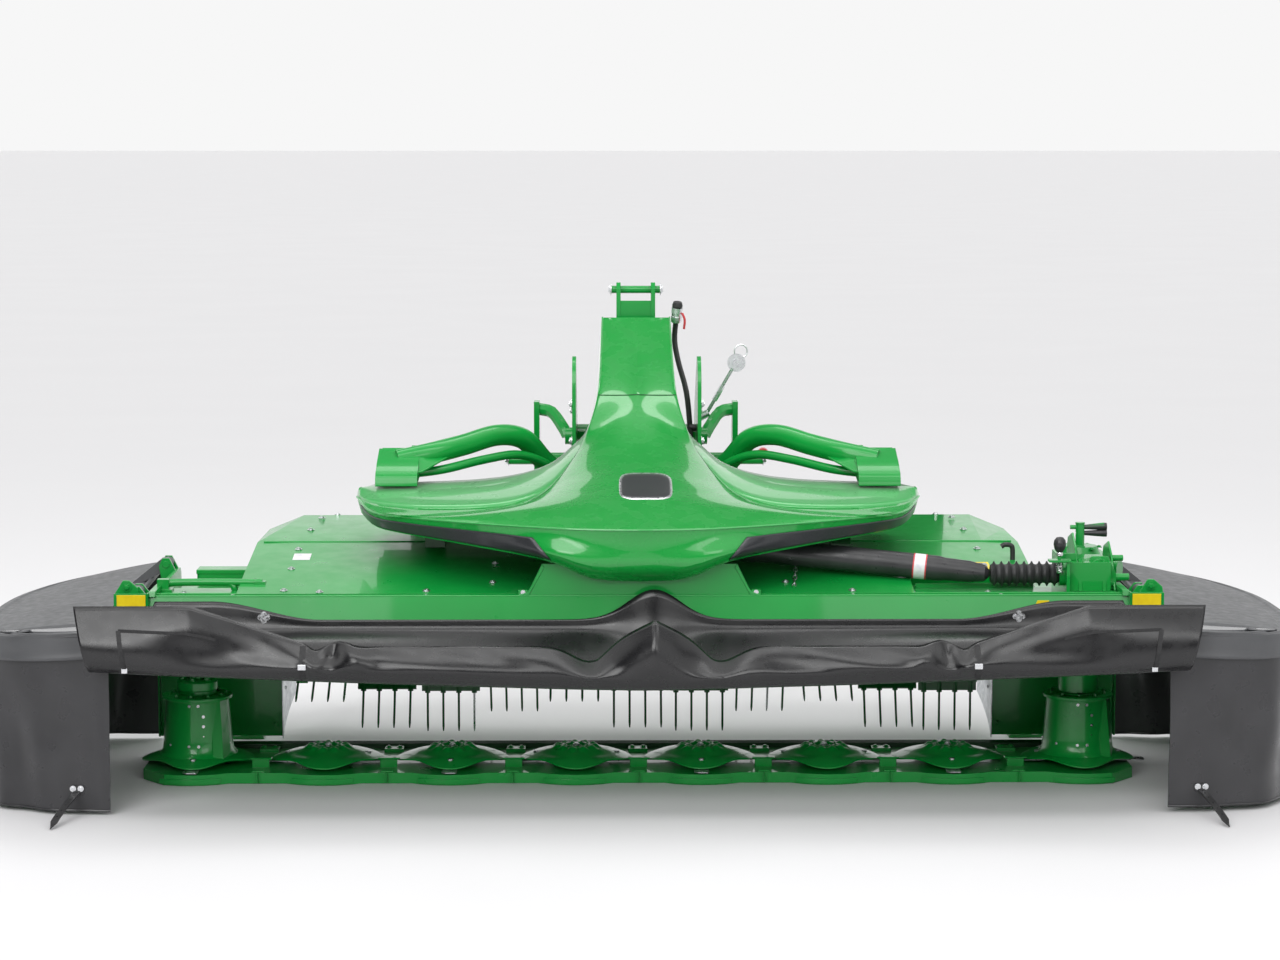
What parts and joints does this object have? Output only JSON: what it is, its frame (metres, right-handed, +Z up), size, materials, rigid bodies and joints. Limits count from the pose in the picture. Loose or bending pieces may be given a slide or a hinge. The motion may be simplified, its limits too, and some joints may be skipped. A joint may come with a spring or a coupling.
{
  "type": "front disc mower-conditioner",
  "caption": "Front-mounted disc mower with a tine conditioner, folding side guards, canvas curtains and parking stands, carried on a tractor's front hitch.",
  "frame": {"origin": "on the ground under the line of the disc spindles, at the middle of the cutter bar", "axes": "+X to the right seen from the front, along the cutter bar; +Y back towards the tractor; +Z up"},
  "size_m": [3.91, 1.9121, 1.449],
  "materials": {
    "green_paint": "gloss powder coat",
    "dark_green_paint": "satin paint",
    "galvanised_sheet": "galvanised, dull",
    "green_plastic": "gloss moulded",
    "black_plastic": "fine grained",
    "grey_plastic": "fine grained",
    "coated_canvas": "coated, soft sheen",
    "black_rubber": "matt"
  },
  "bodies": {
    "frame": {"cutter_bar": "green_paint", "end_plate_left": "green_paint", "end_plate_right": "green_paint", "end_cover_left": "green_paint", "end_cover_right": "green_paint", "baffle_left": "green_paint", "baffle_right": "green_paint", "crop_guide_left": "galvanised_sheet", "crop_guide_right": "galvanised_sheet", "side_wall_left": "green_paint", "side_wall_right": "green_paint", "carrier_arm_left": "green_paint", "carrier_arm_right": "green_paint", "lower_link_bracket_left": "green_paint", "lower_link_bracket_right": "green_paint", "deck_beam": "green_paint", "conditioner_hood": "green_paint", "front_curtain": "coated_canvas", "cowl": "green_plastic", "carrier_beam": "dark_green_paint", "headstock": "green_paint", "top_link_bracket": "green_paint", "centre_pedestal": "green_paint", "gearbox_centre": "green_paint", "input_guard": "black_plastic", "driveshaft_guard": "black_plastic", "bellows": "black_rubber", "gearbox_right": "green_paint", "shift_lever": "black_plastic", "adjuster": "green_paint", "tool_box": "green_paint", "hydraulic_hose": "black_rubber"},
    "disc_1": {"disc_1": "green_paint", "drum_left": "green_paint"},
    "disc_2": {"disc_2": "green_paint"},
    "disc_3": {"disc_3": "green_paint"},
    "disc_4": {"disc_4": "green_paint"},
    "disc_5": {"disc_5": "green_paint"},
    "disc_6": {"disc_6": "green_paint"},
    "disc_7": {"disc_7": "green_paint"},
    "disc_8": {"disc_8": "green_paint", "drum_right": "green_paint"},
    "tine_rotor": {"tine_rotor": "dark_green_paint"},
    "guard_left": {"side_guard_left": "grey_plastic", "side_curtain_left": "coated_canvas", "guard_strap_left": "black_rubber"},
    "guard_right": {"side_guard_right": "grey_plastic", "side_curtain_right": "coated_canvas", "guard_strap_right": "black_rubber"},
    "swath_left": {"swath_plate_left": "galvanised_sheet"},
    "swath_right": {"swath_plate_right": "galvanised_sheet"},
    "stand_left": {"parking_stand_left": "green_paint"},
    "stand_right": {"parking_stand_right": "green_paint"}
  },
  "joints": [
    {"name": "disc_1_spin", "type": "hinge", "parent": "frame", "child": "disc_1", "pos_m": [-1.341, 0, 0.05], "axis": [0, 0, 1], "continuous": true},
    {"name": "disc_2_spin", "type": "hinge", "parent": "frame", "child": "disc_2", "pos_m": [-0.945, 0, 0.05], "axis": [0, 0, 1], "continuous": true},
    {"name": "disc_3_spin", "type": "hinge", "parent": "frame", "child": "disc_3", "pos_m": [-0.567, 0, 0.05], "axis": [0, 0, 1], "continuous": true},
    {"name": "disc_4_spin", "type": "hinge", "parent": "frame", "child": "disc_4", "pos_m": [-0.189, 0, 0.05], "axis": [0, 0, 1], "continuous": true},
    {"name": "disc_5_spin", "type": "hinge", "parent": "frame", "child": "disc_5", "pos_m": [0.189, 0, 0.05], "axis": [0, 0, 1], "continuous": true},
    {"name": "disc_6_spin", "type": "hinge", "parent": "frame", "child": "disc_6", "pos_m": [0.567, 0, 0.05], "axis": [0, 0, 1], "continuous": true},
    {"name": "disc_7_spin", "type": "hinge", "parent": "frame", "child": "disc_7", "pos_m": [0.945, 0, 0.05], "axis": [0, 0, 1], "continuous": true},
    {"name": "disc_8_spin", "type": "hinge", "parent": "frame", "child": "disc_8", "pos_m": [1.341, 0, 0.05], "axis": [0, 0, 1], "continuous": true},
    {"name": "rotor_spin", "type": "hinge", "parent": "frame", "child": "tine_rotor", "pos_m": [0, 0.4, 0.33], "axis": [1, 0, 0], "continuous": true},
    {"name": "guard_left_fold", "type": "hinge", "parent": "frame", "child": "guard_left", "pos_m": [-1.46, 0, 0.612], "axis": [0, 1, 0], "range_deg": [0, 95]},
    {"name": "guard_right_fold", "type": "hinge", "parent": "frame", "child": "guard_right", "pos_m": [1.46, 0, 0.612], "axis": [0, -1, 0], "range_deg": [0, 95]},
    {"name": "swath_left_turn", "type": "hinge", "parent": "frame", "child": "swath_left", "pos_m": [-1.095, 0.74, 0.32], "axis": [0, 0, -1], "range_deg": [-12, 15]},
    {"name": "swath_right_turn", "type": "hinge", "parent": "frame", "child": "swath_right", "pos_m": [1.095, 0.74, 0.32], "axis": [0, 0, 1], "range_deg": [-12, 15]},
    {"name": "stand_left_fold", "type": "hinge", "parent": "frame", "child": "stand_left", "pos_m": [-1.262, 0.62, 0.42], "axis": [1, 0, 0], "range_deg": [0, 95]},
    {"name": "stand_right_fold", "type": "hinge", "parent": "frame", "child": "stand_right", "pos_m": [1.262, 0.62, 0.42], "axis": [1, 0, 0], "range_deg": [0, 95]}
  ],
  "couplings": [
    {"joint": "disc_2_spin", "follows": "disc_1_spin", "ratio": 1},
    {"joint": "disc_3_spin", "follows": "disc_1_spin", "ratio": -1},
    {"joint": "disc_4_spin", "follows": "disc_1_spin", "ratio": 1},
    {"joint": "disc_5_spin", "follows": "disc_1_spin", "ratio": -1},
    {"joint": "disc_6_spin", "follows": "disc_1_spin", "ratio": 1},
    {"joint": "disc_7_spin", "follows": "disc_1_spin", "ratio": -1},
    {"joint": "disc_8_spin", "follows": "disc_1_spin", "ratio": -1}
  ]
}
